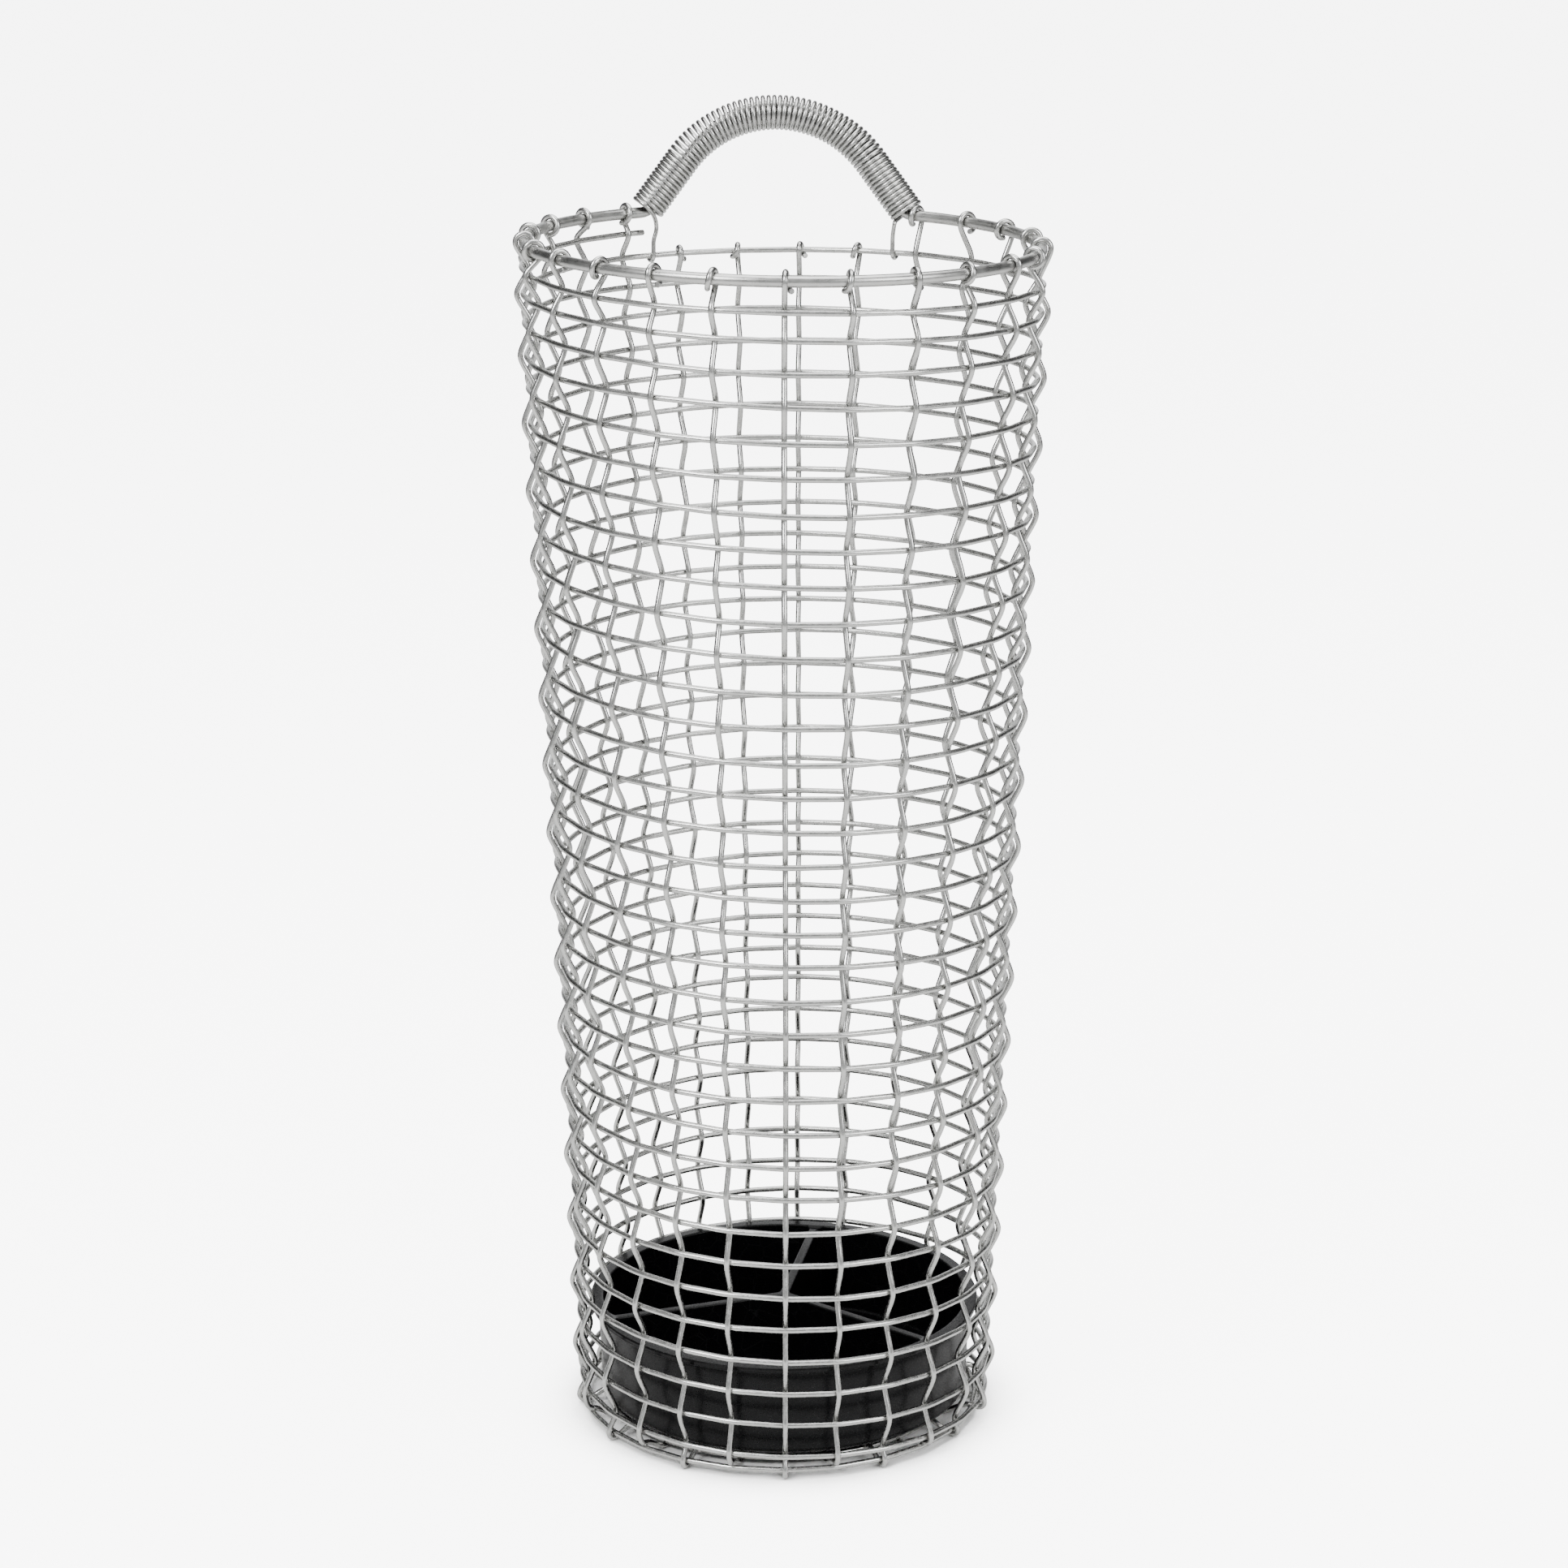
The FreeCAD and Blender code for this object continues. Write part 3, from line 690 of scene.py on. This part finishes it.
# %% The outline of one compartment
def arc(centre, radius, first, last, steps):
    """Points of a flat arc between two angles in degrees, both ends included."""
    angles = np.radians(np.linspace(first, last, steps + 1))
    return [centre + radius * np.array((math.cos(a), math.sin(a))) for a in angles]


def compartment(rib_half, wall, fillet):
    """The rounded sector between two dividers, counter-clockwise, its middle along +X.

    It runs round the lower far corner, the wall and the upper far corner, in along the upper
    divider, round the inner corner and out along the lower divider.
    """
    offset = rib_half + fillet
    reach = math.sqrt((wall - fillet) ** 2 - offset**2)
    rib_way, rib_normal = np.array((SECTOR_COS, -SECTOR_SIN)), np.array((SECTOR_SIN, SECTOR_COS))
    lower = rib_way * reach + rib_normal * offset
    upper = lower * (1, -1)
    swing = -math.degrees(math.atan2(lower[1], lower[0]))
    apex = np.array((offset / SECTOR_SIN, 0))
    turned_out = 90 + HALF_SECTOR
    outline = arc(lower, fillet, -turned_out, -swing, CORNER_STEPS)
    outline += arc(np.zeros(2), wall, -swing, swing, ARC_STEPS)[1:-1]
    outline += arc(upper, fillet, swing, turned_out, CORNER_STEPS)
    inner = arc(apex, fillet, turned_out, 360 - turned_out, CORNER_STEPS)
    outline += [outline[-1] + (inner[0] - outline[-1]) * i / SIDE_STEPS for i in range(1, SIDE_STEPS)]
    outline += inner
    outline += [inner[-1] + (outline[0] - inner[-1]) * i / SIDE_STEPS for i in range(1, SIDE_STEPS)]
    return np.array(outline)


def compartment_rings():
    """(rib half width, wall radius, corner fillet, height) from the top edge down to the floor."""
    rings = []
    for step in range(ROUND_STEPS + 1):
        angle = math.pi / 2 * step / ROUND_STEPS
        back = EDGE_ROUND * (1 - math.sin(angle))
        down = EDGE_ROUND * (1 - math.cos(angle))
        rings.append((RIB_HALF - back, INNER_RADIUS + back, CORNER_FILLET + back, DISH_TOP - down))
    floor = DISH_FOOT + DISH_FLOOR
    for step in range(ROUND_STEPS + 1):
        angle = math.pi / 2 * step / ROUND_STEPS
        inward = FLOOR_FILLET * (1 - math.cos(angle))
        height = floor + FLOOR_FILLET * (1 - math.sin(angle))
        wall = INNER_RADIUS - TAPER - inward
        rings.append((RIB_HALF + RIB_DRAFT + inward, wall, CORNER_FILLET - inward, height))
    return rings


def outside_profile():
    """(radius, height) of the outside, from the lip's top out, down the wall and in underneath."""
    wall_top = INNER_RADIUS + DISH_WALL
    under = DISH_TOP - LIP_THICKNESS
    profile = [(INNER_RADIUS + 2 * EDGE_ROUND, DISH_TOP)]
    for first, centre_height in ((90, DISH_TOP - EDGE_ROUND), (0, under + EDGE_ROUND)):
        for step in range(ROUND_STEPS + 1):
            angle = math.radians(first - 90 * step / ROUND_STEPS)
            centre = LIP_RADIUS - EDGE_ROUND
            profile.append((centre + EDGE_ROUND * math.cos(angle),
                            centre_height + EDGE_ROUND * math.sin(angle)))
    profile += [(wall_top + out * EDGE_ROUND, under - down * EDGE_ROUND) for out, down in UNDER_LIP]
    foot = wall_top - TAPER - FOOT_ROUND
    for step in range(ROUND_STEPS * 2 + 1):
        angle = math.radians(-90 * step / (ROUND_STEPS * 2))
        profile.append((foot + FOOT_ROUND * math.cos(angle),
                        DISH_FOOT + FOOT_ROUND * (1 + math.sin(angle))))
    return profile + [(foot * UNDERSIDE_SHARE, DISH_FOOT)]


# %% The dish as one mesh
points, faces = [], []


def add_points(places):
    points.extend(tuple(place) for place in places)
    return list(range(len(points) - len(places), len(points)))


def bridge(first, second):
    """Quads between two loops of the same length."""
    for i in range(len(first)):
        after = (i + 1) % len(first)
        faces.append((first[i], first[after], second[after], second[i]))


def drop_at(place):
    """How far below the lip a top edge is. The dividers' tops are lower, with a soft step."""
    fade = min(1, max(0, (INNER_RADIUS - np.linalg.norm(place)) / RIB_FADE))
    return RIB_DROP * fade * fade * (3 - 2 * fade)


top_loops = []
for number in range(RIBS):
    turn = math.radians(RIB_AZIMUTH + HALF_SECTOR + number * 360 / RIBS)
    spin = np.array(((math.cos(turn), math.sin(turn)), (-math.sin(turn), math.cos(turn))))
    loops = []
    for depth, (rib_half, wall, fillet, height) in enumerate(compartment_rings()):
        outline = compartment(rib_half, wall, fillet) @ spin
        lowered = [drop_at(place) if depth <= ROUND_STEPS else 0 for place in outline]
        loops.append(add_points([(*place, height - drop) for place, drop in zip(outline, lowered)]))
    for first, second in zip(loops, loops[1:]):
        bridge(first, second)
    faces.append(tuple(loops[-1]))
    top_loops.append(loops[0])

corner = CORNER_STEPS
wall_end = corner + ARC_STEPS
side_end = wall_end + corner + SIDE_STEPS
apex_end = side_end + corner
lip_loop, hub_loop = [], []
for number in range(RIBS):
    here, beyond = top_loops[number], top_loops[(number + 1) % RIBS]
    # the divider's top runs from the lip in to the middle, between two compartments
    near_side = here[wall_end:side_end + 1]
    far_side = (beyond[apex_end:] + beyond[:corner + 1])[::-1]
    rows = []
    for left, right in zip(near_side, far_side):
        start, end = np.array(points[left]), np.array(points[right])
        between = [start + (end - start) * i / RIB_CROSS_STEPS for i in range(1, RIB_CROSS_STEPS)]
        rows.append([left] + add_points(between) + [right])
    for outer, inner in zip(rows, rows[1:]):
        for i in range(RIB_CROSS_STEPS):
            faces.append((outer[i], outer[i + 1], inner[i + 1], inner[i]))
    lip_loop += here[corner:wall_end] + rows[0][:-1]
    hub_loop += here[apex_end:side_end:-1] + rows[-1][:-1]
faces.append(tuple(hub_loop))

last_loop = lip_loop
for radius, height in outside_profile():
    around = [unit(np.array(points[i][:2])) * radius for i in lip_loop]
    loop = add_points([(*place, height) for place in around])
    bridge(last_loop, loop)
    last_loop = loop
faces.append(tuple(last_loop))

dish_mesh = bpy.data.meshes.new("drip_dish_moulding")
dish_mesh.from_pydata((np.array(points) * MM).tolist(), [], faces)
tidy = bmesh.new()
tidy.from_mesh(dish_mesh)
bmesh.ops.recalc_face_normals(tidy, faces=tidy.faces)
tidy.to_mesh(dish_mesh)
tidy.free()
dish_mesh.polygons.foreach_set("use_smooth", [True] * len(dish_mesh.polygons))
dish = bpy.data.objects.new("drip_dish_moulding", dish_mesh)
bpy.context.scene.collection.objects.link(dish)
flat_stays_flat = dish.modifiers.new("flat_stays_flat", "WEIGHTED_NORMAL")
flat_stays_flat.keep_sharp = True
print("dish faces:", len(dish_mesh.polygons))

# %% [markdown]
# ## Moulded polystyrene
# The plastic is black all through. The mould was polished but not to a mirror, so the surface has
# a soft gloss with a faint orange peel, bumps about 2 mm wide. Umbrella tips leave pale scuffs,
# and those are drawn as thin crossing marks, about 9 mm apart, broken up by a finer grit.

# %% Black plastic
PEEL_WIDTH = 2.0
SCUFF_SPACING = 9.0
GRIT_WIDTH = 0.35
SCUFF_EDGE = 0.02
PEEL_DEPTH, GRIT_DEPTH = 0.08, 0.02


def moulded_black_plastic():
    material, tree, shader = new_material("moulded_black_polystyrene")
    place = add(tree, "ShaderNodeTexCoord")
    peel = add(tree, "ShaderNodeTexNoise",
               {"Vector": place.outputs["Object"], "Scale": 1 / (PEEL_WIDTH * MM), "Detail": 2.0})
    grit = add(tree, "ShaderNodeTexNoise",
               {"Vector": place.outputs["Object"], "Scale": 1 / (GRIT_WIDTH * MM), "Detail": 2.0})
    cells = add(tree, "ShaderNodeTexVoronoi",
                {"Vector": place.outputs["Object"], "Scale": 1 / (SCUFF_SPACING * MM)},
                feature="DISTANCE_TO_EDGE")
    marks = add(tree, "ShaderNodeMapRange",
                {"Value": cells.outputs["Distance"], "From Min": 0.0, "From Max": SCUFF_EDGE,
                 "To Min": 1.0, "To Max": 0.0})
    worn = add(tree, "ShaderNodeMath",
               {0: marks.outputs["Result"], 1: grit.outputs["Fac"]}, operation="MULTIPLY")
    colour = add(tree, "ShaderNodeMix", {"Factor": worn.outputs["Value"]}, data_type="RGBA")
    colour.inputs[6].default_value = linear("#050506")
    colour.inputs[7].default_value = linear("#1e1e1f")
    rough = add(tree, "ShaderNodeMapRange",
                {"Value": grit.outputs["Fac"], "From Min": 0.3, "From Max": 0.7,
                 "To Min": 0.22, "To Max": 0.34})
    peel_bump = add(tree, "ShaderNodeBump",
                    {"Height": peel.outputs["Fac"], "Strength": 0.4, "Distance": PEEL_DEPTH * MM})
    grit_bump = add(tree, "ShaderNodeBump",
                    {"Height": grit.outputs["Fac"], "Strength": 0.3, "Distance": GRIT_DEPTH * MM,
                     "Normal": peel_bump.outputs["Normal"]})
    shader.inputs["IOR"].default_value = 1.55
    shader.inputs["Specular IOR Level"].default_value = 0.13
    tree.links.new(colour.outputs[2], shader.inputs["Base Color"])
    tree.links.new(rough.outputs["Result"], shader.inputs["Roughness"])
    tree.links.new(grit_bump.outputs["Normal"], shader.inputs["Normal"])
    return material


dish.data.materials.append(moulded_black_plastic())
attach(dish, "drip_dish")
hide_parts("drip_dish")

# %% [markdown]
# ## The studio
# Shiny wire shows the room more than itself. Two soft boxes in front draw the bright line along
# each wire, a wide one above lights its upper side, and the dim back of the room gives the darker
# edges that make it read as round.
#
# The floor is a lit white sheet. To the camera it glows, so that the stand is seen against white,
# and the glow fades where the foot of the stand is close above it, which is a painted contact
# shadow. The wires see the same floor as plain white paint.

# %% Floor
FLOOR_HALF = 14.0
FLOOR_GLOW = 6.5
SHADOW_REACH = 45 * MM
COVERED, OPEN = 0.25, 0.97
floor_mesh = bpy.data.meshes.new("studio_floor")
floor_mesh.from_pydata([(-FLOOR_HALF, -FLOOR_HALF, 0), (FLOOR_HALF, -FLOOR_HALF, 0),
                        (FLOOR_HALF, FLOOR_HALF, 0), (-FLOOR_HALF, FLOOR_HALF, 0)], [], [(0, 1, 2, 3)])
floor = bpy.data.objects.new("studio_floor", floor_mesh)
bpy.context.scene.collection.objects.link(floor)
paint, paint_tree, paint_shader = new_material("matt_white_paint")
paint_place = add(paint_tree, "ShaderNodeTexCoord")
roller = add(paint_tree, "ShaderNodeTexNoise",
             {"Vector": paint_place.outputs["Object"], "Scale": 3.0, "Detail": 3.0})
paint_colour = add(paint_tree, "ShaderNodeMix", {"Factor": roller.outputs["Fac"]}, data_type="RGBA")
paint_colour.inputs[6].default_value = linear("#f4f4f3")
paint_colour.inputs[7].default_value = linear("#f7f7f6")
paint_tree.links.new(paint_colour.outputs[2], paint_shader.inputs["Base Color"])
paint_shader.inputs["Roughness"].default_value = 0.8
paint_shader.inputs["Emission Color"].default_value = linear("#ffffff")
seen = add(paint_tree, "ShaderNodeLightPath")
# painted contact shadow: the camera-only glow dims where the stand covers the floor
open_sky = add(paint_tree, "ShaderNodeAmbientOcclusion", {"Distance": SHADOW_REACH}, samples=8)
glow_with_painted_shadow = add(paint_tree, "ShaderNodeMapRange",
                  {"Value": open_sky.outputs["AO"], "From Min": COVERED, "From Max": OPEN,
                   "To Min": 0.0, "To Max": FLOOR_GLOW}, interpolation_type="SMOOTHSTEP")
glow = add(paint_tree, "ShaderNodeMath",
           {0: seen.outputs["Is Camera Ray"], 1: glow_with_painted_shadow.outputs["Result"]}, operation="MULTIPLY")
paint_tree.links.new(glow.outputs["Value"], paint_shader.inputs["Emission Strength"])
floor_mesh.materials.append(paint)

# %% Lights
MIDDLE = Vector((0, 0, 0.3))


def softbox(name, place, width, power):
    light = bpy.data.lights.new(name, "AREA")
    light.size = width
    light.energy = power
    lamp = bpy.data.objects.new(name, light)
    lamp.location = place
    lamp.rotation_euler = (MIDDLE - Vector(place)).to_track_quat("-Z", "Y").to_euler()
    bpy.context.scene.collection.objects.link(lamp)


softbox("key_softbox", (-1.2, -1.5, 1.9), 1.0, 60)
softbox("fill_softbox", (1.5, -1.2, 1.3), 1.0, 26)
softbox("top_softbox", (0.1, 0.3, 2.6), 2.2, 80)

# the room is bright on the camera's side and dim behind the stand, but for the far end of the sheet
FRONT_LEVEL, BACK_LEVEL, SHEET_LEVEL = 0.7, 0.10, 2.0
FRONT_ENDS, BACK_STARTS = -0.7, 0.4
SHEET_STARTS, SHEET_FULL = 0.86, 0.95
room = bpy.data.worlds.new("pale_room")
room.use_nodes = True
room_tree = room.node_tree
background = room_tree.nodes["Background"]
background.inputs["Color"].default_value = linear("#f2f3f4")
towards = add(room_tree, "ShaderNodeTexCoord")
along = add(room_tree, "ShaderNodeSeparateXYZ", {"Vector": towards.outputs["Generated"]})
front = add(room_tree, "ShaderNodeMapRange",
            {"Value": along.outputs["Y"], "From Min": FRONT_ENDS, "From Max": BACK_STARTS,
             "To Min": FRONT_LEVEL, "To Max": BACK_LEVEL})
sheet_end = add(room_tree, "ShaderNodeMapRange",
                {"Value": along.outputs["Y"], "From Min": SHEET_STARTS, "From Max": SHEET_FULL,
                 "To Min": 0.0, "To Max": SHEET_LEVEL})
level = add(room_tree, "ShaderNodeMath", {0: front.outputs["Result"], 1: sheet_end.outputs["Result"]})
looked_at = add(room_tree, "ShaderNodeLightPath")
brightness = add(room_tree, "ShaderNodeMix",
                 {"Factor": looked_at.outputs["Is Camera Ray"], 2: level.outputs["Value"], 3: FLOOR_GLOW})
room_tree.links.new(brightness.outputs[0], background.inputs["Strength"])
bpy.context.scene.world = room
